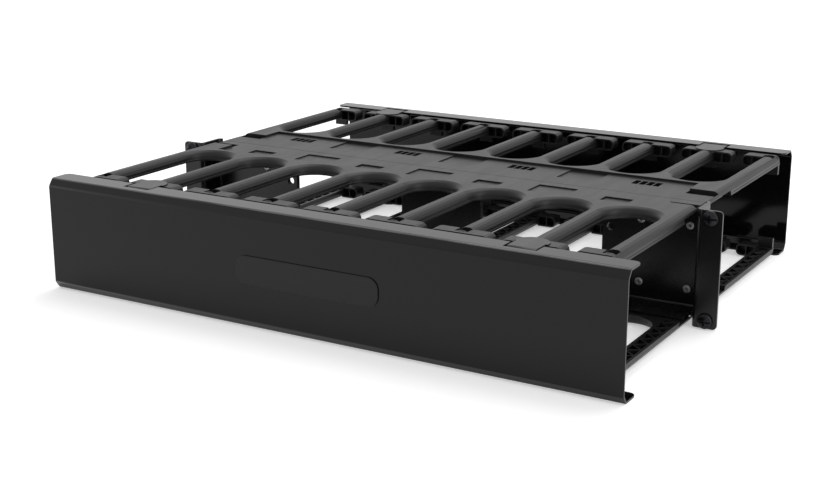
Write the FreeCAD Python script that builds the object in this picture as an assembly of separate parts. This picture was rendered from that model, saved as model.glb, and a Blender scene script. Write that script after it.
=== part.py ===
"""Horizontal cable manager, two rack units high, with cable fingers and a hinged cover front and rear.

Millimetres.  X runs to the right, Y from the front to the back and Z up.  The origin is on the seating
face of the rack ears (Y = 0), at mid width and mid height, so the ears rest against rack rails at Y >= 0.
"""
import FreeCAD, Part
import math
import os
from FreeCAD import Vector

# ---------------------------------------------------------------- rack interface
rack_width = 482.6            # over the ears
panel_height = 87.8           # over the ears and the combs
ear_width = 19.3
ear_corner_radius = 3.0
hole_inset_x = 8.75           # ear hole to the ear's outer edge
hole_inset_z = 5.8
screw_diameter = 6.0
screw_hole_play = 0.6
screw_length = 14.0           # under the head
screw_head_diameter = 11.6
screw_head_height = 3.8
screw_recess_width = 1.5
screw_recess_depth = 1.8
screw_head_chamfer = 1.6
screw_tip_chamfer = 0.8
screw_neck_diameter = 5.0     # where it passes the ear

# ---------------------------------------------------------------- frame, folded from sheet
frame_sheet = 2.0
bend_radius = 2.0             # inside of each fold
wall_setback = 22.5           # ear seat to the front face of the mid wall
channel_end_gap = 4.5         # side flange to the end of the upper and lower flanges
flange_setback = 15.0         # flange edge to the finger gaps
window_inner_x = 36.5
window_outer_inset = 81.5     # from the side flange
window_inset_z = 16.9         # from the upper and lower edges of the ears
window_corner_radius = 3.0
relief_hole_diameter = 6.3
relief_hole_offset = 6.5      # from the window's edge
relief_hole_z = 15.0

# ---------------------------------------------------------------- rivets through both channels
rivet_insets = (12.5, 50.5)   # from the side flange
rivet_inset_z = 19.5          # from the upper and lower edges of the ears
rivet_diameter = 4.0
rivet_play = 0.1
rivet_head_diameter = 6.6
rivet_head_height = 1.3
rivet_tail_diameter = 5.6

# ---------------------------------------------------------------- finger combs
finger_count = 9
finger_width = 12.6
comb_side_gap = 2.4           # to the side flange
comb_rim_depth = 8.0          # how far a finger reaches in from its outer face
comb_edge_chamfer = 3.2       # flat of the eased upper edge, before its own edges are eased
comb_edge_ease = 1.3
comb_lip_height = 1.5         # lip round the lower edge
comb_lip_reach = 0.4
comb_wall = 2.0
comb_skin = 3.2
web_thickness = 2.5
web_step = 1.8                # the web lies this much below the fingers
root_band = 7.8               # raised band between the web and the finger gaps
front_web_length = 46.4       # seam to the finger gaps
rear_web_length = 56.9
front_finger_length = 120.8
rear_finger_length = 122.9
seam_offset = 0.9             # seam behind the joint between the two channels
seam_gap = 0.3
window_tab_width = 32.0       # shallow rectangular recesses
window_tab_length = 29.0
window_tab_depth = 1.0
truss_pitch = 13.0            # zigzag rib in the hollow of each finger
truss_rib = 1.1
slot_width = 22.0
slot_length = 11.8
slot_start = 15.8             # from the finger gaps
slot_rib = 1.0
rear_slot_cells = 4           # the rear slots go through
front_slot_depth = 1.2        # the front ones are single and blind
block_width = 23.5            # raised blocks at both ends of the web
block_start = 27.6            # from the finger gaps
block_pocket_length = 9.0
block_pocket_wall = 1.2
peg_width = 16.0              # snap pegs under the web, through the channel flange
peg_length = 7.0
peg_reach = 1.6               # past the channel flange
peg_play = 0.3
peg_margin = 3.1              # from the fold of the channel

# ---------------------------------------------------------------- T-shaped finger heads
head_width = 45.0
head_thickness = 3.5
head_wing_height = 10.0
head_post_height = 16.0
head_corner_radius = 4.0      # lower corners of the wings
head_top_radius = 4.0
head_corner_flats = 3         # flats that round each of these corners
head_drop = 0.5               # head top below the finger top
pad_width = 7.0               # raised pad on each wing
pad_reach = 2.8
pad_inset = 1.5               # from the wing's end
pad_margin = 1.2              # from the wing's upper and lower edges
cup_depth = 8.0               # rim round the inner side of each wing
cup_wall = 1.3
cup_rib = 1.0

# ---------------------------------------------------------------- hinge clips
clip_finger = 1               # how many fingers in from each end
clip_body_width = 21.2
clip_plate_width = 24.0
clip_plate_length = 13.2
clip_plate_shoulder = 3.0
clip_plate_thickness = 2.6
clip_nose_radius = 3.8
clip_seat_play = 0.2
socket_wall = 2.3             # beside the square socket in every finger
socket_inset = 4.8            # from the finger's end
socket_play = 0.3
clip_peg_rise = 0.4           # peg's end above the finger's lower edge
pin_reach = 12.0              # finger end to hinge pin
pin_diameter = 4.0
pin_overhang = 0.5            # past the cover's hooks
pin_play = 0.08               # radial

# ---------------------------------------------------------------- covers, folded from sheet
cover_sheet = 1.5
cover_rise = 0.4              # above and below the combs
crease_drop = 5.8             # from the cover's edge to the crease in its face
crease_setback = 4.2
cover_flange_depth = 21.5
cover_bend_radius = 1.2       # inside of each fold
cover_corner_radius = 4.5
front_cover_inset = 2.3       # from the outer edges of the ears
rear_cover_overlap = 0.4      # past the frame opening, each side
pin_to_face = 14.7
notch_play = 1.4              # each side of the clip
nose_play = 1.0               # in front of the clip
hook_front = 4.6              # from the pin towards the face
hook_back = 4.2               # from the pin towards the free edge
hook_jaw = 2.6
hook_flare = 0.8
hook_radius = 2.0

# ---------------------------------------------------------------- badge plate
badge_width = 120.0
badge_height = 21.5
badge_thickness = 1.2
badge_corner_radius = 8.5
badge_chamfer = 0.4

# ---------------------------------------------------------------- places worked out from the sizes above
opening_width = rack_width - 2 * ear_width
channel_length = opening_width - 2 * channel_end_gap
comb_width = opening_width - 2 * comb_side_gap
front_cover_length = rack_width - 2 * front_cover_inset
rear_cover_length = opening_width + 2 * rear_cover_overlap
joint_y = wall_setback + frame_sheet
seam_y = joint_y + seam_offset
comb_top = panel_height / 2
comb_bottom = comb_top - comb_rim_depth
web_top = comb_top - web_step
channel_top = web_top - web_thickness
cover_top = comb_top + cover_rise
finger_pitch = (comb_width - finger_width) / (finger_count - 1)
finger_places = [(i - (finger_count - 1) / 2) * finger_pitch for i in range(finger_count)]
peg_places = finger_places[1::2]
clip_places = (finger_places[clip_finger], finger_places[-1 - clip_finger])
peg_start = seam_offset + frame_sheet + bend_radius + peg_margin
socket_side = finger_width - 2 * socket_wall
clip_seat = cover_top - clip_plate_thickness
pin_z = cover_top - clip_nose_radius
notch_width = clip_body_width + 2 * notch_play
notch_setback = pin_to_face - clip_nose_radius - nose_play
screw_places = [(side * (rack_width / 2 - hole_inset_x), row * (panel_height / 2 - hole_inset_z))
                for side in (-1, 1) for row in (-1, 1)]
rivet_places = [(opening_width / 2 - inset, row * (panel_height / 2 - rivet_inset_z))
                for inset in rivet_insets for row in (-1, 1)]
overrun = 1.0                 # how far a cutter runs past the face it opens
X_AXIS, Y_AXIS, Z_AXIS = Vector(1, 0, 0), Vector(0, 1, 0), Vector(0, 0, 1)


# ---------------------------------------------------------------- general helpers
def box(x0, x1, y0, y1, z0, z1):
    """Block between two corners."""
    return Part.makeBox(x1 - x0, y1 - y0, z1 - z0, Vector(x0, y0, z0))


def rod(radius, length, start, axis):
    """Round bar that starts at a point and runs along an axis."""
    return Part.makeCylinder(radius, length, start, axis)


def fused(shapes):
    """One solid from several that meet."""
    body = shapes[0]
    if len(shapes) > 1:
        body = body.multiFuse(shapes[1:])
    return body.removeSplitter()


def cut(body, tools):
    """A body less a list of tools."""
    return body.cut(Part.makeCompound(tools)) if tools else body


def flipped(shape, normal, through=Vector(0, 0, 0)):
    """Mirror image in a plane."""
    return shape.mirror(through, normal)


def rounded_edges(points, radii, close):
    """Lines through the points, with a tangent arc of the given radius at each corner."""
    count = len(points)
    starts, ends, arcs = [], [], []
    for i, (here, radius) in enumerate(zip(points, radii)):
        corner = radius > 0 and (close or 0 < i < count - 1)
        if not corner:
            starts.append(here)
            ends.append(here)
            arcs.append(None)
            continue
        back = (points[i - 1] - here).normalize()
        ahead = (points[(i + 1) % count] - here).normalize()
        half = back.getAngle(ahead) / 2
        reach = radius / math.tan(half)
        middle = (back + ahead).normalize() * (radius / math.sin(half) - radius)
        starts.append(here + back * reach)
        ends.append(here + ahead * reach)
        arcs.append(Part.Arc(starts[-1], here + middle, ends[-1]).toShape())
    edges = []
    for i in range(count):
        if arcs[i]:
            edges.append(arcs[i])
        following = (i + 1) % count
        if following or close:
            if (ends[i] - starts[following]).Length > 1e-6:
                edges.append(Part.makeLine(ends[i], starts[following]))
    return edges


def plate(points, radii, thickness):
    """Flat plate from an outline with rounded corners, thickened along a vector."""
    return Part.Face(Part.Wire(rounded_edges(points, radii, True))).extrude(thickness)


def prism(points, depth):
    """Flat plate from an outline of straight lines."""
    return Part.Face(Part.makePolygon(points + points[:1])).extrude(depth)


def flatted(points, radii, flats):
    """Outline whose right-angled corners are rounded with a number of flats."""
    outline = []
    for i, (here, radius) in enumerate(zip(points, radii)):
        if not radius:
            outline.append(here)
            continue
        back = (points[i - 1] - here).normalize() * radius
        ahead = (points[(i + 1) % len(points)] - here).normalize() * radius
        for k in range(flats + 1):
            turn = math.pi / 2 * k / flats
            outline.append(here + back * (1 - math.sin(turn)) + ahead * (1 - math.cos(turn)))
    return outline


def folded(points, inner_radius, sheet, normal, length):
    """Sheet folded along a path.  The path is one face of the sheet, whose metal lies on the left of it."""
    across = [normal.cross(b - a).normalize() * sheet for a, b in zip(points, points[1:])]
    far = [points[0] + across[0]]
    near_radii, far_radii = [0], [0]
    for i in range(1, len(points) - 1):
        bisector = (across[i - 1] + across[i]).normalize()
        far.append(points[i] + bisector * (sheet * sheet / bisector.dot(across[i])))
        left_turn = (points[i] - points[i - 1]).cross(points[i + 1] - points[i]).dot(normal) > 0
        near_radii.append(inner_radius + sheet if left_turn else inner_radius)
        far_radii.append(inner_radius if left_turn else inner_radius + sheet)
    far.append(points[-1] + across[-1])
    near_radii.append(0)
    far_radii.append(0)
    edges = rounded_edges(points, near_radii, False) + rounded_edges(far, far_radii, False)
    edges += [Part.makeLine(points[0], far[0]), Part.makeLine(points[-1], far[-1])]
    wire = Part.Wire(Part.__sortEdges__(edges))
    return Part.Face(wire).extrude(normal * length)


# ---------------------------------------------------------------- frame
def wall_cuts():
    """Windows, relief holes and rivet holes, which run through the walls of both channels."""
    y0, depth = wall_setback - overrun, 2 * (frame_sheet + overrun)
    outer, high = opening_width / 2 - window_outer_inset, panel_height / 2 - window_inset_z
    outline = [Vector(x, y0, z) for x, z in
               ((window_inner_x, -high), (outer, -high), (outer, high), (window_inner_x, high))]
    window = plate(outline, [window_corner_radius] * 4, Y_AXIS * depth)
    reliefs = [rod(relief_hole_diameter / 2, depth, Vector(outer + relief_hole_offset, y0, z), Y_AXIS)
               for z in (-relief_hole_z, relief_hole_z)]
    holes = [rod(rivet_diameter / 2, depth, Vector(x, y0, z), Y_AXIS) for x, z in rivet_places]
    right = [window] + reliefs + holes
    return right + [flipped(tool, X_AXIS) for tool in right]


def peg_cuts(outward):
    """Holes in the channel flanges for the snap pegs of the combs."""
    near = seam_y + outward * (peg_start - peg_play)
    far = seam_y + outward * (peg_start + peg_length + peg_play)
    half = peg_width / 2 + peg_play
    high = channel_top + overrun
    return [box(x - half, x + half, min(near, far), max(near, far), -high, high) for x in peg_places]


def channel(edge_y, outward):
    """Upper flange, wall and lower flange, folded from one strip."""
    section = [(edge_y, outward), (joint_y, outward), (joint_y, -outward), (edge_y, -outward)]
    points = [Vector(-channel_length / 2, y, z * channel_top) for y, z in section]
    return folded(points, bend_radius, frame_sheet, X_AXIS, channel_length)


def frame_front():
    """Front channel in one piece with the side flanges and the rack ears."""
    ear_y, half = -frame_sheet, opening_width / 2
    section = [(-rack_width / 2, ear_y), (-half, ear_y), (-half, wall_setback),
               (half, wall_setback), (half, ear_y), (rack_width / 2, ear_y)]
    points = [Vector(x, y, -panel_height / 2) for x, y in section]
    ears = folded(points, bend_radius, frame_sheet, Z_AXIS, panel_height)
    corners = [edge for edge in ears.Edges
               if abs(abs(edge.CenterOfMass.x) - rack_width / 2) < 0.01 and edge.Length < 1.5 * frame_sheet]
    ears = ears.makeFillet(ear_corner_radius, corners)
    free, fold_end = half - bend_radius, channel_top - 2 * bend_radius - frame_sheet
    reliefs = [box(-free, free, wall_setback - bend_radius, joint_y + overrun, low, high)
               for low, high in ((fold_end, panel_height), (-panel_height, -fold_end))]
    flange_edge = seam_y - front_web_length + flange_setback
    body = fused([cut(ears, reliefs), channel(flange_edge, -1)])
    holes = [rod((screw_diameter + screw_hole_play) / 2, frame_sheet + 2 * overrun,
                 Vector(x, ear_y - overrun, z), Y_AXIS) for x, z in screw_places]
    return cut(body, wall_cuts() + peg_cuts(-1) + holes)


def frame_rear():
    """Rear channel, back to back with the front one."""
    return cut(channel(seam_y + rear_web_length - flange_setback, 1), wall_cuts() + peg_cuts(1))


def turned(profile, centre):
    """Solid of revolution about a line along Y.  The profile is a list of radius and Y from the centre."""
    points = [centre + Vector(radius, y, 0) for radius, y in profile]
    return Part.Face(Part.makePolygon(points + points[:1])).revolve(centre, Y_AXIS, 360)


def rivet(x, z):
    """Low head on the front wall, shank through both sheets and a flattened tail behind."""
    head, shank = rivet_head_diameter / 2, (rivet_diameter - rivet_play) / 2
    tail, high, grip = rivet_tail_diameter / 2, rivet_head_height, 2 * frame_sheet
    profile = [(0, -high), (head - high / 2, -high), (head, 0), (shank, 0), (shank, grip),
               (tail, grip), (tail, grip + high), (0, grip + high)]
    return turned(profile, Vector(x, wall_setback, z))


def rivets(side):
    """The four rivets at one end of the wall."""
    return Part.makeCompound([rivet(side * x, z) for x, z in rivet_places])


# ---------------------------------------------------------------- rack screws
def rack_screw(x, z):
    """Pan-head screw with a cross recess, one slot of which runs the full width of the head.

    Its neck is thinner where it passes the ear, so that it stays in the ear when it is undone.
    """
    head, thread = screw_head_diameter / 2, screw_diameter / 2
    high, edge, tip = screw_head_height, screw_head_chamfer, screw_tip_chamfer
    profile = [(0, -high), (head - edge, -high), (head, edge - high), (head, 0),
               (screw_neck_diameter / 2, 0), (screw_neck_diameter / 2, frame_sheet),
               (thread, frame_sheet), (thread, screw_length - tip), (thread - tip, screw_length),
               (0, screw_length)]
    half, floor = screw_recess_width / 2, screw_recess_depth - high
    slots = [box(x - head, x + head, -high - overrun, floor, z - half, z + half),
             box(x - half, x + half, -high - overrun, floor, z - head / 2, z + head / 2)]
    slots = [slot.translated(Y_AXIS * -frame_sheet) for slot in slots]
    return cut(turned(profile, Vector(x, -frame_sheet, z)), slots)


def rack_screws():
    """One screw in each ear hole."""
    return Part.makeCompound([rack_screw(x, z) for x, z in screw_places])


# ---------------------------------------------------------------- combs, built upper and facing back
def comb_layer(throat, tip, spread, low, high):
    """Plan of web and fingers between two heights, spread outwards into the finger gaps."""
    half, radius = comb_width / 2 + spread, (finger_pitch - finger_width) / 2
    gaps = []
    for left in finger_places[:-1]:
        x, y = left + finger_pitch / 2, throat + radius
        gaps.append(rod(radius - spread, high - low, Vector(x, y, low), Z_AXIS))
        gaps.append(box(x - radius + spread, x + radius - spread, y, tip + overrun, low, high))
    return cut(box(-half, half, seam_gap / 2, tip, low, high), gaps).removeSplitter()


def level_edges(body, z):
    """Edges at one height, less the one along the seam."""
    return [edge for edge in body.Edges
            if abs(edge.BoundBox.ZMin - z) < 1e-4 and edge.BoundBox.ZLength < 1e-4
            and edge.BoundBox.YMax > seam_gap]


def finger_blank(throat, tip):
    """Web and fingers in outline, with the eased upper edge and the lip that run round every finger gap."""
    blank = comb_layer(throat, tip, 0, comb_bottom, comb_top)
    blank = blank.makeChamfer(comb_edge_chamfer, level_edges(blank, comb_top))
    for z in (comb_top, comb_top - comb_edge_chamfer):
        blank = blank.makeChamfer(comb_edge_ease, level_edges(blank, z))
    lip = comb_layer(throat, tip, comb_lip_reach, comb_bottom, comb_bottom + comb_lip_height)
    return fused([blank, lip])


def web_cuts(throat, slot_cells, slot_floor):
    """What is taken from the blank to leave the web, its openings and the raised blocks at both ends."""
    half, near, high = comb_width / 2, -overrun, comb_top + overrun
    inner, outer = half - block_width, half + overrun
    step, block = throat - root_band, throat - block_start
    under = channel_top - overrun
    cuts = [box(-inner, inner, near, step, web_top, high),
            box(-outer, outer, near, block, web_top, high),
            box(-outer, outer, near, throat - comb_wall, comb_bottom - overrun, channel_top)]
    for x in finger_places[2:-2:2]:
        cuts.append(box(x - window_tab_width / 2, x + window_tab_width / 2,
                        step - window_tab_length, step, web_top - window_tab_depth, high))
    cell = (slot_width - (slot_cells - 1) * slot_rib) / slot_cells
    far = throat - slot_start
    for x in peg_places:
        for i in range(slot_cells):
            left = x - slot_width / 2 + i * (cell + slot_rib)
            cuts.append(box(left, left + cell, far - slot_length, far, slot_floor, high))
    pocket_width = block_width - block_pocket_wall
    for left in (block_pocket_wall - half, inner):
        cuts.append(box(left, left + pocket_width, block - block_pocket_length, block, under, high))
    return cuts


def truss_pockets(x, start, end):
    """Triangular pockets under a finger, which leave a zigzag rib between its two side walls.

    The rib runs from one wall to the other and back in every pitch.  Each pocket has its base on a wall and
    its apex near the other one; the first and the last are cut off by the end walls.
    """
    half = finger_width / 2 - comb_wall
    bays = 2 * round((end - start) / truss_pitch)
    step = (end - start) / bays
    rib = truss_rib / 2 * math.hypot(1, step / (2 * half))
    floor, depth = comb_bottom - overrun, comb_rim_depth - comb_skin + overrun
    pockets = []
    for i in range(bays + 1):
        side, middle = half if i % 2 else -half, start + i * step
        corners = [(side, max(middle - step + rib, start)), (side, min(middle + step - rib, end)),
                   (side * (2 * rib / step - 1), middle)]
        points = [Vector(x + dx, y, floor) for dx, y in corners]
        pockets.append(prism(points, Z_AXIS * depth))
    return pockets


def finger_cuts(throat, tip):
    """Pockets under each finger, and the square socket near its tip."""
    cuts = []
    for x in finger_places:
        cuts += truss_pockets(x, throat, tip - clip_plate_length - comb_wall)
        cuts.append(box(x - socket_side / 2, x + socket_side / 2, tip - socket_inset - socket_side,
                        tip - socket_inset, comb_bottom - overrun, comb_top + overrun))
    return cuts


def wing_cup(tip):
    """Rim and rib on the inner side of the wing to the right of a finger at X = 0."""
    post, wing = finger_width / 2, head_width / 2
    top = comb_top - head_drop
    bottom, back = top - head_wing_height, tip - head_thickness

    def prism_between(near, inset):
        corners = [Vector(near, back, top - inset), Vector(wing - inset, back, top - inset),
                   Vector(wing - inset, back, bottom + inset), Vector(near, back, bottom + inset)]
        radii = [0, head_top_radius - inset, head_corner_radius - inset, 0]
        return prism(flatted(corners, radii, head_corner_flats), Y_AXIS * -cup_depth)

    rim = prism_between(post - cup_wall, 0).cut(prism_between(post, cup_wall))
    middle = (post + wing - cup_wall) / 2
    rib = box(middle - cup_rib / 2, middle + cup_rib / 2, back - cup_depth, back,
              bottom + cup_wall / 2, top - cup_wall / 2)
    return fused([rim, rib])


def finger_head(x, tip):
    """T-shaped plate across the finger's end.  The outermost ones reach inwards only."""
    wing, post, limit = head_width / 2, finger_width / 2, comb_width / 2
    left, right = max(x - wing, -limit), min(x + wing, limit)
    top = comb_top - head_drop
    middle, bottom = top - head_wing_height, top - head_post_height
    outline, radii = [(left, top), (right, top)], [head_top_radius] * 2
    if right > x + post:
        outline += [(right, middle), (x + post, middle)]
        radii += [head_corner_radius, 0]
    outline += [(x + post, bottom), (x - post, bottom)]
    radii += [0, 0]
    if left < x - post:
        outline += [(x - post, middle), (left, middle)]
        radii += [0, head_corner_radius]
    points = [Vector(px, tip - head_thickness, pz) for px, pz in outline]
    pads = [box(start, start + pad_width, tip - head_thickness, tip + pad_reach,
                middle + pad_margin, top - pad_margin)
            for start in (x - wing + pad_inset, x + wing - pad_inset - pad_width)
            if -limit < start < limit - pad_width]
    outline = flatted(points, radii, head_corner_flats)
    cup = wing_cup(tip)
    cups = [shape.translated(X_AXIS * x) for shape, end in ((cup, right - x), (flipped(cup, X_AXIS), x - left))
            if end > post + cup_wall]
    return fused([prism(outline, Y_AXIS * head_thickness)] + pads + cups)


def clip_outline(x, tip, play, z):
    """Plan of the hinge clip's plate: straight along the head, rounded on the finger."""
    half, shoulder = clip_plate_width / 2 + play, tip - clip_plate_shoulder + play
    apex = Vector(x, tip - clip_plate_length - play, z)
    corners = [Vector(x + half, shoulder, z), Vector(x + half, tip + play, z),
               Vector(x - half, tip + play, z), Vector(x - half, shoulder, z)]
    edges = [Part.makeLine(a, b) for a, b in zip(corners, corners[1:])]
    edges.append(Part.Arc(corners[-1], apex, corners[0]).toShape())
    return Part.Face(Part.Wire(edges))


def comb_upper(web_length, finger_length, slot_cells, slot_floor):
    """Upper comb with its seam at Y = 0 and its fingers towards +Y."""
    throat, tip = web_length, web_length + finger_length
    cuts = web_cuts(throat, slot_cells, slot_floor) + finger_cuts(throat, tip)
    body = cut(finger_blank(throat, tip), cuts)
    pegs = [box(x - peg_width / 2, x + peg_width / 2, peg_start, peg_start + peg_length,
                channel_top - frame_sheet - peg_reach, web_top) for x in peg_places]
    body = fused([body] + pegs + [finger_head(x, tip) for x in finger_places])
    seats = [clip_outline(x, tip, clip_seat_play, clip_seat).extrude(Z_AXIS * 2 * clip_plate_thickness)
             for x in clip_places]
    return cut(body, seats)


# ---------------------------------------------------------------- hinge clips
def clip_upper(x, tip):
    """Clip with its plate on the finger, a square peg in the socket and a pin on both sides of its nose."""
    half, pin_y = clip_body_width / 2, tip + pin_reach
    top = clip_outline(x, tip, 0, clip_seat).extrude(Z_AXIS * clip_plate_thickness)
    block = box(x - half, x + half, tip, pin_y, pin_z - clip_nose_radius, pin_z + clip_nose_radius)
    nose = rod(clip_nose_radius, 2 * half, Vector(x - half, pin_y, pin_z), X_AXIS)
    span = half + notch_play + cover_sheet + pin_overhang
    pins = rod(pin_diameter / 2, 2 * span, Vector(x - span, pin_y, pin_z), X_AXIS)
    centre, peg = tip - socket_inset - socket_side / 2, socket_side / 2 - socket_play
    post = box(x - peg, x + peg, centre - peg, centre + peg, comb_bottom + clip_peg_rise, clip_seat)
    return fused([top, block, nose, pins, post])


# ---------------------------------------------------------------- covers, built with the face at Y = 0
def hook(left):
    """Tab folded in from the notch's edge, with a slot that snaps over the hinge pin."""
    radius = pin_diameter / 2 + pin_play
    front, back = pin_to_face - hook_front, pin_to_face + hook_back
    top = cover_top - cover_sheet
    bottom = pin_z - radius - hook_jaw
    upper, lower = pin_z + radius, pin_z - radius
    corners = [(pin_to_face, lower), (back, lower - hook_flare), (back, bottom), (front, bottom),
               (front, top), (back, top), (back, upper), (pin_to_face, upper)]
    radii = [0, 0, 0, hook_radius, 0, 0, 0, 0]
    points = [Vector(left, y, z) for y, z in corners]
    edges = rounded_edges(points, radii, False)
    edges.append(Part.Arc(points[-1], Vector(left, pin_to_face - radius, pin_z), points[0]).toShape())
    return Part.Face(Part.Wire(Part.__sortEdges__(edges))).extrude(X_AXIS * cover_sheet)


def cover(length):
    """Face, two creases and two flanges folded from one sheet, with a hook on both sides of each notch."""
    crease = cover_top - crease_drop
    section = [(cover_flange_depth, cover_top), (crease_setback, cover_top), (0, crease),
               (0, -crease), (crease_setback, -cover_top), (cover_flange_depth, -cover_top)]
    points = [Vector(-length / 2, y, z) for y, z in section]
    shell = folded(points, cover_bend_radius, cover_sheet, X_AXIS, length)
    corners = [edge for edge in shell.Edges
               if abs(edge.CenterOfMass.y - cover_flange_depth) < 0.01 and edge.Length < 2 * cover_sheet]
    shell = shell.makeFillet(cover_corner_radius, corners)
    half, inside, past = notch_width / 2, cover_top - 2 * cover_sheet, cover_top + overrun
    notches = [box(x - half, x + half, notch_setback, cover_flange_depth + overrun, low, high)
               for x in clip_places for low, high in ((inside, past), (-past, -inside))]
    hooks = [hook(left) for x in clip_places for left in (x - half - cover_sheet, x + half)]
    hooks += [flipped(tab, Z_AXIS) for tab in hooks]
    return fused([cut(shell, notches)] + hooks)


def badge_plate(face_y):
    """Bare plate with rounded ends, bonded to the middle of the front cover."""
    corners = [Vector(x * badge_width / 2, face_y, z * badge_height / 2)
               for x, z in ((-1, -1), (1, -1), (1, 1), (-1, 1))]
    blank = plate(corners, [badge_corner_radius] * 4, Y_AXIS * -badge_thickness)
    rim = [edge for edge in blank.Edges if abs(edge.CenterOfMass.y - face_y + badge_thickness) < 0.01]
    return blank.makeChamfer(badge_chamfer, rim)


# ---------------------------------------------------------------- assembly
def placed(shape, forward, y):
    """A shape built facing back, turned to face forward if asked, and moved to its Y."""
    facing = flipped(shape, Y_AXIS) if forward else shape
    return facing.translated(Vector(0, y, 0))


def pieces():
    """Every node with its name."""
    yield "frame_front", frame_front()
    yield "frame_rear", frame_rear()
    yield "rivets_left", rivets(-1)
    yield "rivets_right", rivets(1)
    yield "rack_screws", rack_screws()
    for end, forward, web, length, cells, floor in (
            ("front", True, front_web_length, front_finger_length, 1, web_top - front_slot_depth),
            ("rear", False, rear_web_length, rear_finger_length, rear_slot_cells, channel_top - overrun)):
        comb = placed(comb_upper(web, length, cells, floor), forward, seam_y)
        yield f"comb_{end}_upper", comb
        yield f"comb_{end}_lower", flipped(comb, Z_AXIS)
        for side, x in zip(("left", "right"), clip_places):
            clip = placed(clip_upper(x, web + length), forward, seam_y)
            yield f"clip_{end}_upper_{side}", clip
            yield f"clip_{end}_lower_{side}", flipped(clip, Z_AXIS)
    front_face = seam_y - front_web_length - front_finger_length - pin_reach - pin_to_face
    rear_face = seam_y + rear_web_length + rear_finger_length + pin_reach + pin_to_face
    yield "cover_front", placed(cover(front_cover_length), False, front_face)
    yield "badge_plate", badge_plate(front_face)
    yield "cover_rear", placed(cover(rear_cover_length), True, rear_face)


os.makedirs("parts", exist_ok=True)
for name, shape in pieces():
    shape.exportStep(f"parts/{name}.step")
    extent = shape.BoundBox
    print(f"{name:24s} solids {len(shape.Solids)} valid {shape.isValid()} faces {len(shape.Faces):4d} "
          f"volume {shape.Volume:10.1f}  y {extent.YMin:8.2f} {extent.YMax:8.2f}  "
          f"z {extent.ZMin:7.2f} {extent.ZMax:7.2f}  x {extent.XMin:8.2f} {extent.XMax:8.2f}")
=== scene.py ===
# %% [markdown]
# # A horizontal cable manager, two rack units high
#
# A folded steel frame bolts to the front of a rack.  Moulded combs above and below it hold the
# cables in place, and hinged steel covers close the front and the back.  The imported CAD model
# gives every shape and place.  This notebook eases the edges of those shapes, gives each one its
# finish, makes the fasteners that need finer shapes than the CAD model has, and sets up the
# studio.
#
# The CAD model is loaded as a fixed frame: its objects may be given modifiers and materials, but
# are never moved.

# %% Load the imported model
import math

import bmesh
import bpy
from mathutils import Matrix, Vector


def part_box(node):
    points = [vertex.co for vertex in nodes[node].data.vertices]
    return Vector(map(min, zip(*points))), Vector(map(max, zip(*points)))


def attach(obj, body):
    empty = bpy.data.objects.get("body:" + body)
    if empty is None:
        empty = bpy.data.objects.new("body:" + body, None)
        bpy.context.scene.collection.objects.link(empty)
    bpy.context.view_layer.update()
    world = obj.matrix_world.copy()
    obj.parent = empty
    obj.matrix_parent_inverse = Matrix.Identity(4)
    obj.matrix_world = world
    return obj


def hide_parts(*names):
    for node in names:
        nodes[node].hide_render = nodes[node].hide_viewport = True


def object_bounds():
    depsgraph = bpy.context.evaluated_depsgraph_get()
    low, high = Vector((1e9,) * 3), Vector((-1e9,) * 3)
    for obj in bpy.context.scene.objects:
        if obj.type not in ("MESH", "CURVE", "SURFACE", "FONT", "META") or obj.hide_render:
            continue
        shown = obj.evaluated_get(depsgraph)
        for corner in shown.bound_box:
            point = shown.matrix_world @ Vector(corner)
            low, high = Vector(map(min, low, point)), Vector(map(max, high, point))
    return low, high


MM = 0.001
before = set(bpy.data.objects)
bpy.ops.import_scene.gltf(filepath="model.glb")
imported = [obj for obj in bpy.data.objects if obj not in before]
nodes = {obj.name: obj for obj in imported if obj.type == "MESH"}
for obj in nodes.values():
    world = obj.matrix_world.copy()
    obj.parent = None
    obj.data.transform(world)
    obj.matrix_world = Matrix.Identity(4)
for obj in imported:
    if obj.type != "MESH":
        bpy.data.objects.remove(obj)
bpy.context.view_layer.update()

# %% [markdown]
# ## Arithmetic on shader sockets
#
# A procedural finish is a small calculation: this much grain, less where the surface is worn, and
# so on.  Wired up node by node, such a sum takes a page and hides its meaning.  Blender's Python
# has no arithmetic on sockets, so one small class wraps an output socket and adds it.  Numbers go
# through Math nodes, vectors and colours through Vector Math nodes, and a mask blends two colours
# or two numbers with a Mix node.

# %% A socket that can be calculated with
def is_wide(term):
    """True for a vector or a colour, whether it is a constant or comes out of a node."""
    return isinstance(term, tuple) or getattr(term, "wide", False)


class Value:
    """What comes out of a node: a number, a vector or a colour that varies over the surface."""

    def __init__(self, finish, output):
        self.finish = finish
        self.output = output
        self.wide = output.type in {"VECTOR", "RGBA"}

    def combine(self, operation, first, second):
        wide = is_wide(first) or is_wide(second)
        kind = "ShaderNodeVectorMath" if wide else "ShaderNodeMath"
        return self.finish.node(kind, {"operation": operation}, {0: first, 1: second})

    def __add__(self, other):
        return self.combine("ADD", self, other)

    def __radd__(self, other):
        return self.combine("ADD", other, self)

    def __sub__(self, other):
        return self.combine("SUBTRACT", self, other)

    def __rsub__(self, other):
        return self.combine("SUBTRACT", other, self)

    def __mul__(self, other):
        return self.combine("MULTIPLY", self, other)

    def __rmul__(self, other):
        return self.combine("MULTIPLY", other, self)

    def mix(self, low, high):
        """`low` where this mask is 0 and `high` where it is 1, both colours or both numbers."""
        if is_wide(low):
            colours = {0: self, 6: low, 7: high}
            return self.finish.node("ShaderNodeMix", {"data_type": "RGBA"}, colours, output=2)
        numbers = {0: self, 2: low, 3: high}
        return self.finish.node("ShaderNodeMix", {"data_type": "FLOAT"}, numbers)


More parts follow.
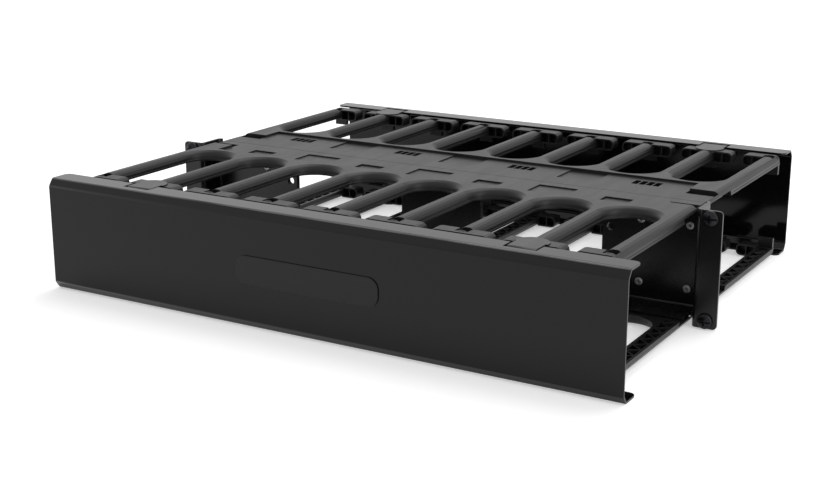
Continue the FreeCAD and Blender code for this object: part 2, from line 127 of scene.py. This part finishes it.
# %% [markdown]
# A finish is one material, or the finish of the room round the object.  Its `node` method adds a
# node of any kind: first the settings, because some of them change which sockets there are, and
# then the values of the sockets.  The other methods are the few ingredients that the finishes
# below share, all of them measured in metres on the object itself, so that the grain has its real
# size from near and from far.

# %% A finish
class Finish:
    """A material or a world, with its shader and one way to add a node of any kind to it."""

    def __init__(self, name, world=False):
        self.block = (bpy.data.worlds if world else bpy.data.materials).new(name)
        self.block.use_nodes = True
        self.tree = self.block.node_tree
        self.shader = self.tree.nodes["Background" if world else "Principled BSDF"]

    def node(self, kind, settings=None, sockets=None, output=0):
        made = self.tree.nodes.new(kind)
        for name, setting in (settings or {}).items():
            setattr(made, name, setting)
        for key, value in (sockets or {}).items():
            self.put(made.inputs[key], value)
        return Value(self, made.outputs[output])

    def put(self, socket, value):
        """A value goes in as a link, a constant as the socket's own setting."""
        if isinstance(value, Value):
            self.tree.links.new(value.output, socket)
        elif socket.type == "RGBA":
            socket.default_value = (*value, 1)
        else:
            socket.default_value = value

    def shade(self, **values):
        for name, value in values.items():
            self.put(self.shader.inputs[name.replace("_", " ")], value)
        return self.block

    def place(self):
        return self.node("ShaderNodeTexCoord", output="Object")

    def noise(self, size, detail=3.0, stretch=(1.0, 1.0, 1.0)):
        """Soft patches from 0 to 1, about `size` metres across and drawn out by `stretch`."""
        squeezed = self.place() * tuple(1 / factor for factor in stretch)
        sockets = {"Vector": squeezed, "Scale": 1 / size, "Detail": detail}
        return self.node("ShaderNodeTexNoise", sockets=sockets)

    def cells(self, size):
        """Distance to the middle of the nearest of many small cells, as on an orange's skin."""
        sockets = {"Vector": self.place(), "Scale": 1 / size}
        return self.node("ShaderNodeTexVoronoi", sockets=sockets)

    def step(self, value, low, high):
        """0 below `low`, 1 above `high` and a smooth ramp in between."""
        settings = {"interpolation_type": "SMOOTHSTEP"}
        return self.node("ShaderNodeMapRange", settings, {0: value, 1: low, 2: high})

    def folds(self):
        """1 where the surface leans between a wall and a level face, as a fold does, else 0."""
        facing = self.node("ShaderNodeTexCoord", output="Normal")
        upward = self.node("ShaderNodeSeparateXYZ", sockets={0: facing}, output="Z")
        level = upward * upward
        return self.step(level, low=0.42, high=0.56) * (1 - self.step(level, low=0.85, high=0.96))

    def bump(self, height, depth):
        """Relief of `depth` metres for a height from 0 to 1."""
        sockets = {"Height": height, "Distance": depth, "Strength": 1.0}
        return self.node("ShaderNodeBump", sockets=sockets)


# %% [markdown]
# ## Powder coat
#
# The frame and the covers are sheet steel with a black powder coat.  Powder melts into a skin
# with a faint orange peel, about a hundredth of a millimetre deep, which breaks up reflections
# without hiding them.  A picture of orange peel would do, but it repeats, and it stretches at
# folds.  Voronoi cells for the peel with a finer noise on top are the same size everywhere.
# Broad, soft patches of roughness stand for the handling that every coated sheet has seen.  Where
# the surface leans as a fold does, along the upper and lower folds, the coat is painted paler in
# soft patches: a painted highlight that stands in for the bright line a fold catches.  Its mask
# comes from the direction in which the surface faces.

# %% Powder coat
def powder_coat(name, colour, thin_colour, fold_highlight_colour, roughness, gloss, relief):
    coat = Finish(name)
    peel = coat.cells(size=1.6 * MM) * 0.7 + coat.noise(size=0.5 * MM) * 0.3
    handled = coat.step(coat.noise(size=45 * MM), low=0.35, high=0.7)
    speck = coat.step(coat.noise(size=0.7 * MM, detail=2.0), low=0.62, high=0.75)
    # Painted highlight: a paler coat, in soft patches, where the surface leans as a fold does.
    patchy = coat.noise(size=60 * MM, detail=4.0)
    painted_fold_highlight = coat.folds() * coat.step(patchy, low=0.25, high=0.65)
    return coat.shade(
        Base_Color=painted_fold_highlight.mix(speck.mix(colour, thin_colour), fold_highlight_colour),
        Roughness=roughness + 0.04 * handled + 0.05 * speck,
        Specular_IOR_Level=gloss,
        Normal=coat.bump(peel, relief),
    )


frame_coat = powder_coat(
    "frame_powder_coat",
    colour=(0.0070, 0.0070, 0.0072),
    thin_colour=(0.012, 0.012, 0.0122),
    fold_highlight_colour=(0.045, 0.045, 0.046),
    roughness=0.25, gloss=0.33, relief=0.010 * MM,
)
cover_coat = powder_coat(
    "cover_powder_coat",
    colour=(0.0035, 0.0035, 0.0036),
    thin_colour=(0.007, 0.007, 0.0072),
    fold_highlight_colour=(0.11, 0.11, 0.112),
    roughness=0.08, gloss=0.24, relief=0.004 * MM,
)
print("powder coats:", frame_coat.name, cover_coat.name)

# %% [markdown]
# ## Moulded plastic
#
# Combs and clips are black nylon, and the badge is a plastic with a finer grain.  The moulds were
# spark-eroded, which leaves fine pits on every face, and plastic that cooled at another speed has
# a slightly different sheen.  The pits are a noise of a few tenths of a millimetre.  The sheen
# follows long streaks along the fingers, the way the melt ran into them.

# %% Moulded plastic
plastic_gloss = 0.28
pit_depth = 0.025 * MM
along_fingers = (1.0, 6.0, 1.0)


def moulding(name, colour, pale_colour, roughness, grain):
    plastic = Finish(name)
    pits = plastic.noise(size=grain)
    flow = plastic.step(plastic.noise(size=9 * MM, stretch=along_fingers), low=0.3, high=0.75)
    return plastic.shade(
        Base_Color=(pits * 0.6 + flow * 0.4).mix(colour, pale_colour),
        Roughness=roughness + 0.10 * pits + 0.05 * flow,
        Specular_IOR_Level=plastic_gloss,
        Normal=plastic.bump(pits, pit_depth),
    )


comb_plastic = moulding(
    "comb_nylon",
    colour=(0.0065, 0.0065, 0.0070), pale_colour=(0.012, 0.012, 0.0125),
    roughness=0.33, grain=0.40 * MM,
)
clip_plastic = moulding(
    "clip_nylon",
    colour=(0.0060, 0.0060, 0.0065), pale_colour=(0.010, 0.010, 0.0105),
    roughness=0.24, grain=0.25 * MM,
)
badge_plastic = moulding(
    "badge_plastic",
    colour=(0.0040, 0.0040, 0.0042), pale_colour=(0.006, 0.006, 0.0062),
    roughness=0.30, grain=0.20 * MM,
)
print("plastics:", comb_plastic.name, clip_plastic.name, badge_plastic.name)

# %% [markdown]
# ## Steel
#
# The rivets are bare grey steel and the rack screws black-oxidised steel.  Both are metals whose
# roughness varies in short scratches.  Flecks of brighter metal show on both, and on the screws
# they are the places where the oxide is thin.

# %% Steel
scratch_depth = 0.006 * MM
across = (8.0, 1.0, 1.0)


def steel(name, colour, bright_colour, roughness, fleck):
    metal = Finish(name)
    scratches = metal.noise(size=0.12 * MM, stretch=across)
    flecks = metal.step(metal.noise(size=fleck, detail=4.0), low=0.45, high=0.75)
    return metal.shade(
        Base_Color=flecks.mix(colour, bright_colour),
        Metallic=1.0,
        Roughness=roughness + 0.12 * scratches - 0.08 * flecks,
        Normal=metal.bump(scratches, scratch_depth),
    )


rivet_steel = steel(
    "rivet_steel",
    colour=(0.34, 0.34, 0.34), bright_colour=(0.46, 0.46, 0.46),
    roughness=0.44, fleck=0.9 * MM,
)
screw_steel = steel(
    "screw_black_oxide",
    colour=(0.020, 0.020, 0.022), bright_colour=(0.050, 0.050, 0.053),
    roughness=0.30, fleck=0.6 * MM,
)
print("steels:", rivet_steel.name, screw_steel.name)

# %% [markdown]
# ## The pieces that the CAD model already shapes
#
# Nothing real has a perfectly sharp edge.  Sheet metal is deburred and mouldings leave the tool
# with a small radius, and it is these that draw the thin bright lines along a black object.
# Modifiers ease the edges without touching the CAD meshes: Weld joins the triangles, Decimate
# removes the lines between those that lie in one plane, and Bevel rounds every edge that turns by
# more than a fold's facets do.  Bevel's clamp is off, because it would hold every edge to what
# the smallest face on the piece leaves room for.  The combs keep the lines in their planes: those
# faces are full of slots and sockets, and a face with many holes can fold over when its rims
# move.  A second Weld takes out the few corners where three rounds meet in one point.

# %% Ease the edges
same_point = 0.002 * MM
no_length = 0.0005 * MM
same_plane = math.radians(0.5)


def modify(piece, name, kind, **settings):
    modifier = piece.modifiers.new(name, kind)
    for setting, value in settings.items():
        setattr(modifier, setting, value)


def ease(piece, width, least_turn, join_planes):
    """Rounds the edges that turn by more than `least_turn` degrees, `width` from each edge."""
    modify(piece, "weld", "WELD", merge_threshold=same_point)
    if join_planes:
        modify(piece, "planes", "DECIMATE", decimate_type="DISSOLVE", angle_limit=same_plane)
    modify(piece, "edges", "BEVEL", width=width, segments=2, limit_method="ANGLE",
           angle_limit=math.radians(least_turn), harden_normals=True, use_clamp_overlap=False)
    modify(piece, "close", "WELD", merge_threshold=no_length)


# %% [markdown]
# The first word of a node's name says which family it belongs to.  Each family has one finish
# and one way to ease its edges.  Rivets and screws are in no family, because new pieces take
# their place below.

# %% Give every family its finish
finishes = {
    "frame": (frame_coat, {"width": 0.25 * MM, "least_turn": 35, "join_planes": True}),
    "cover": (cover_coat, {"width": 0.20 * MM, "least_turn": 35, "join_planes": True}),
    "comb": (comb_plastic, {"width": 0.15 * MM, "least_turn": 50, "join_planes": False}),
    "clip": (clip_plastic, {"width": 0.30 * MM, "least_turn": 35, "join_planes": True}),
    "badge": (badge_plastic, {"width": 0.15 * MM, "least_turn": 35, "join_planes": True}),
}
finished = 0
for name, piece in nodes.items():
    family = name.split("_")[0]
    if family in finishes:
        material, edges = finishes[family]
        piece.data.materials.clear()
        piece.data.materials.append(material)
        ease(piece, **edges)
        finished += 1
print("eased and finished:", finished, "nodes")

# %% [markdown]
# ## Round pieces
#
# Rivets and screws are turned or headed, so they are bodies of revolution.  A profile, which is a
# list of radii and places along the axis, is swept round that axis.  Blender has a Screw modifier
# for this, but with the rings made in code the same function can also sink a thread into a shank:
# a groove whose depth changes round the ring as well as along the axis, and which moves on by one
# lead in each turn.

# %% Sweep a profile round an axis along Y
sides = 48
lead = 1.0 * MM


def swept(shape, centre, profile):
    """Adds a turned solid.  Each ring is (radius, y) or (radius, y, depth of the thread there)."""
    rings = []
    for radius, y, *groove in profile:
        ring = []
        for i in range(sides):
            angle = 2 * math.pi * i / sides
            depth = groove[0] * abs(2 * ((y / lead - i / sides) % 1) - 1) if groove else 0
            out = radius - depth
            place = Vector((out * math.cos(angle), y, out * math.sin(angle)))
            ring.append(shape.verts.new(centre + place))
        rings.append(ring)
    for ring, following in zip(rings, rings[1:]):
        for i in range(sides):
            j = (i + 1) % sides
            shape.faces.new((ring[i], ring[j], following[j], following[i]))
    shape.faces.new(rings[0])
    shape.faces.new(rings[-1])


# %% [markdown]
# Blender keeps a shape and the object that shows it apart.  One helper puts data of any kind into
# the scene as an object, and it will serve for the lamps and the camera too.  The next closes a
# bmesh and turns its faces outwards.  The last adds what a piece of the cable manager has to
# have: its finish and the body that carries it.

# %% From a bmesh to a piece
def show(name, data):
    """A new object in the scene that shows `data`."""
    shown = bpy.data.objects.new(name, data)
    bpy.context.scene.collection.objects.link(shown)
    return shown


def solid(name, shape):
    bmesh.ops.recalc_face_normals(shape, faces=shape.faces)
    mesh = bpy.data.meshes.new(name)
    shape.to_mesh(mesh)
    shape.free()
    return show(name, mesh)


def new_piece(name, shape, material, body):
    piece = solid(name, shape)
    piece.data.materials.append(material)
    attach(piece, body)
    return piece


# %% [markdown]
# ### Rivets
#
# Eight blind rivets hold the two channels back to back.  The head is a low, nearly flat button.
# In its middle is the hole where the mandrel snapped off, with the mandrel's broken end deep
# inside, and at the back the tail has swollen over the sheet.  One profile draws all of it, from
# the mandrel's end round the button to the back of the tail.  The rivets stand where the CAD
# rivets are, which they replace.

# %% Rivets
head_radius, head_height = 3.3 * MM, 1.3 * MM
shank_radius, tail_radius, tail_side = 2.0 * MM, 2.8 * MM, 0.7 * MM
hole, mouth_width, end_radius = 1.0 * MM, 0.25 * MM, 0.1 * MM
mandrel = [(end_radius, 1.5 * MM), (0.8 * hole, 1.6 * MM), (hole, 1.8 * MM)]
mouth = [(hole, -0.95 * MM), (hole + mouth_width, -1.15 * MM)]
button_shares = ((0.60, 0.92), (0.76, 0.84), (0.88, 0.68), (0.96, 0.46), (1.0, 0.22), (1.0, 0.0))
button = [(r * head_radius, -h * head_height) for r, h in button_shares]
for side in ("left", "right"):
    low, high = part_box(f"rivets_{side}")
    grip = high.y - low.y - 2 * head_height
    back = grip + head_height
    shank = [(shank_radius, 0.0), (shank_radius, grip)]
    tail = [(tail_radius, grip), (tail_radius, grip + tail_side),
            (0.8 * tail_radius, back - 0.15 * MM), (0.5 * tail_radius, back), (end_radius, back)]
    shape = bmesh.new()
    for x in (low.x + head_radius, high.x - head_radius):
        for z in (low.z + head_radius, high.z - head_radius):
            centre = Vector((x, low.y + head_height, z))
            swept(shape, centre, mandrel + mouth + button + shank + tail)
    rivets = new_piece(f"turned_rivets_{side}", shape, rivet_steel, "manager")
    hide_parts(f"rivets_{side}")
    print(rivets.name, len(rivets.data.polygons), "faces")

# %% [markdown]
# ### Rack screws
#
# Each ear is held by two pan-head screws.  The head is a low dome on a short rim.  The shank has
# a plain neck where it passes the ear, which keeps the screw captive, and a thread beyond it that
# runs out at the point.  Head and shank are swept in one profile.

# %% Profile of a rack screw
low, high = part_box("rack_screws")
pan_radius, pan_height, round_off = 5.8 * MM, 3.8 * MM, 0.15 * MM
neck_radius, neck_length = 2.45 * MM, 2.0 * MM
thread_radius, thread_depth = 3.0 * MM, 0.5 * MM
point_length, point_taper = 0.8 * MM, 0.7 * MM
dome_rings, rings_per_turn = 10, 8
middle_share, rim_share, least_depth_share = 0.05, 0.25, 0.1

rim = rim_share * pan_height
first = math.asin(middle_share)
angles = [first + (math.pi / 2 - first) * k / dome_rings for k in range(dome_rings + 1)]
profile = [(pan_radius * math.sin(a), -rim - (pan_height - rim) * math.cos(a)) for a in angles]
profile += [(pan_radius, -round_off), (pan_radius - round_off, 0.0),
            (neck_radius, 0.0), (neck_radius, neck_length)]
length = high.y - low.y - pan_height
rows = rings_per_turn * round((length - neck_length) / lead)
for k in range(1, rows + 1):
    y = neck_length + (length - neck_length) * k / rows
    to_end = (length - y) / point_length
    radius = thread_radius - point_taper * max(0, 1 - to_end)
    depth = thread_depth * min(1, k / rings_per_turn, to_end + least_depth_share)
    profile.append((radius, y, depth))
print("one screw:", len(profile), "rings")

# %% [markdown]
# The head has a cross recess, and one slot of the cross runs out to the rim so that a flat blade
# fits too.  Its straight sides do not follow the rings of the sweep, so each slot is cut with a
# Boolean modifier and a tapered block.  The blocks are removed once the cuts are made.

# %% Block that cuts one slot of the recess
def cutter(centre, half_x, half_z, front, floor, draft):
    """Tapered block along Y, as an object that is only used for cutting."""
    shape = bmesh.new()
    corners = [shape.verts.new(centre + Vector((sx * (half_x - less), y, sz * (half_z - less))))
               for y, less in ((front, 0.0), (floor, draft))
               for sx, sz in ((-1, -1), (1, -1), (1, 1), (-1, 1))]
    for face in ((0, 1, 2, 3), (7, 6, 5, 4),
                 (0, 4, 5, 1), (1, 5, 6, 2), (2, 6, 7, 3), (3, 7, 4, 0)):
        shape.faces.new([corners[i] for i in face])
    return solid("cutter", shape)


# %% Rack screws
half_slot, draft = 0.75 * MM, 0.12 * MM
slot_reach, slot_floor = 1.1 * pan_radius, 1.7 * MM - pan_height
cross_reach, cross_floor = 0.5 * pan_radius, 2.1 * MM - pan_height
front = -1.5 * pan_height

shape = bmesh.new()
centres = [Vector((x, low.y + pan_height, z))
           for x in (low.x + pan_radius, high.x - pan_radius)
           for z in (low.z + pan_radius, high.z - pan_radius)]
for centre in centres:
    swept(shape, centre, profile)
screws = new_piece("threaded_rack_screws", shape, screw_steel, "manager")
blocks = []
for centre in centres:
    blocks.append(cutter(centre, slot_reach, half_slot, front, slot_floor, draft))
    blocks.append(cutter(centre, half_slot, cross_reach, front, cross_floor, draft))
for block in blocks:
    modify(screws, "recess", "BOOLEAN", operation="DIFFERENCE", object=block, solver="EXACT")
evaluated = screws.evaluated_get(bpy.context.evaluated_depsgraph_get())
cut_mesh = bpy.data.meshes.new_from_object(evaluated)
screws.modifiers.clear()
screws.data = cut_mesh
for block in blocks:
    bpy.data.objects.remove(block)
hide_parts("rack_screws")
print(screws.name, len(screws.data.polygons), "faces")

# %% [markdown]
# ### Shading of the round pieces
#
# A turned face is round, but its mesh is made of flat quads.  Smooth shading hides that.  Where
# the profile turns sharply the real piece has an edge, so those edges are marked sharp.  An angle
# finds them all, which is quicker and surer than to pick them out.

# %% Shade the round pieces
sharp_turn = math.radians(35)
for name in ("turned_rivets_left", "turned_rivets_right", "threaded_rack_screws"):
    piece = bpy.data.objects[name]
    piece.data.shade_smooth()
    piece.data.set_sharp_from_angle(angle=sharp_turn)
print("shaded smooth up to turns of", round(math.degrees(sharp_turn)), "degrees")

# %% [markdown]
# ## Studio
#
# The object stands on a seamless white sheet in a plain light room.  Black things are lit by what
# they mirror, so the room gives most of the light.  A Light Path node tells light that is on its
# way to a dull surface from what is looked at, straight or by way of metal and glass.  What is
# looked at is a white room and a white sheet, and the sheet keeps the soft shadow under the
# object.

# %% What is looked at
def looked_at(finish):
    """1 for what is seen straight, in a reflection or through glass, 0 for light on its way."""
    kinds = [finish.node("ShaderNodeLightPath", output=f"Is {kind} Ray")
             for kind in ("Camera", "Glossy", "Transmission")]
    return kinds[0] + kinds[1] + kinds[2]


# %% [markdown]
# ### White sheet
#
# The sheet is one large square, which reaches so far that its edge lies beyond every view.  It
# touches the lowest point of the object.  Fibres of two whites keep it from being a flat colour,
# and a little light of its own, only where it is looked at, lifts it to the white of the room.

# %% White sheet
reach = 9.0
glow = 0.40
low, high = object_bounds()
mesh = bpy.data.meshes.new("floor")
corners = [(x * reach, y * reach, low.z) for x, y in ((-1, -1), (1, -1), (1, 1), (-1, 1))]
mesh.from_pydata(corners, [], [(0, 1, 2, 3)])
floor = show("floor", mesh)
paper = Finish("white_paper")
fibre = paper.noise(size=4 * MM, detail=4.0)
paper.shade(
    Base_Color=fibre.mix((0.86, 0.86, 0.86), (0.88, 0.88, 0.88)),
    Roughness=0.9,
    Emission_Strength=1.0,
    Emission_Color=looked_at(paper).mix((0.0, 0.0, 0.0), (glow, glow, glow)),
)
floor.data.materials.append(paper.block)
print("floor at", round(low.z, 4))

# %% [markdown]
# ### Lights
#
# A broad softbox above and behind lays an even sheen on the upper faces.  A light strip at the
# right brightens the flanges towards that end.  Small lamps would do the same work with hard
# shadows and with bright spots on the coat.

# %% Lights
def softbox(name, place, target, width, height, power):
    data = bpy.data.lights.new(name, "AREA")
    data.shape = "RECTANGLE"
    data.size, data.size_y = width, height
    data.energy = power
    lamp = show(name, data)
    lamp.location = place
    aim = Vector(target) - Vector(place)
    lamp.rotation_euler = aim.to_track_quat("-Z", "Y").to_euler()
    print(name, power, "W")


softbox("overhead", place=(0.1, 0.7, 1.6), target=(0, 0, 0), width=1.6, height=1.2, power=14)
softbox("strip", place=(1.5, -0.2, 0.75), target=(0.1, -0.1, 0), width=0.3, height=1.2, power=5)

# %% [markdown]
# ### Room
#
# The room is the world's background.  It lights dull surfaces at a little over half strength,
# which leaves the softboxes something to shape, and it is pure white where it is looked at.

# %% Room
room_light, room_white = 0.60, 1.0
room = Finish("room", world=True)
strength = looked_at(room).mix(room_light, room_white)
bpy.context.scene.world = room.shade(Color=(1.0, 1.0, 1.0), Strength=strength)
print("room", room.block.name)

# %% [markdown]
# ## Camera
#
# The object is seen from its front right corner and a little from above, through a lens somewhat
# longer than normal, which keeps the far end nearly as large as the near one.  The colours are
# shown as they are, without a film look, so the view transform is Standard.

# %% Camera
focal_length, sensor_width = 62.49, 36
camera_place = Vector((545.65, -944.73, 293.91)) * MM
camera_aim = Vector((-0.4911, 0.8272, -0.2731))

lens = bpy.data.cameras.new("camera")
lens.lens = focal_length
lens.sensor_width = sensor_width
camera = show("camera", lens)
camera.location = camera_place
camera.rotation_euler = camera_aim.to_track_quat("-Z", "Y").to_euler()
bpy.context.scene.camera = camera
bpy.context.scene.view_settings.view_transform = "Standard"
distance = (camera_place - (low + high) / 2).length
print("camera", round(distance, 3), "m from the middle of the object")
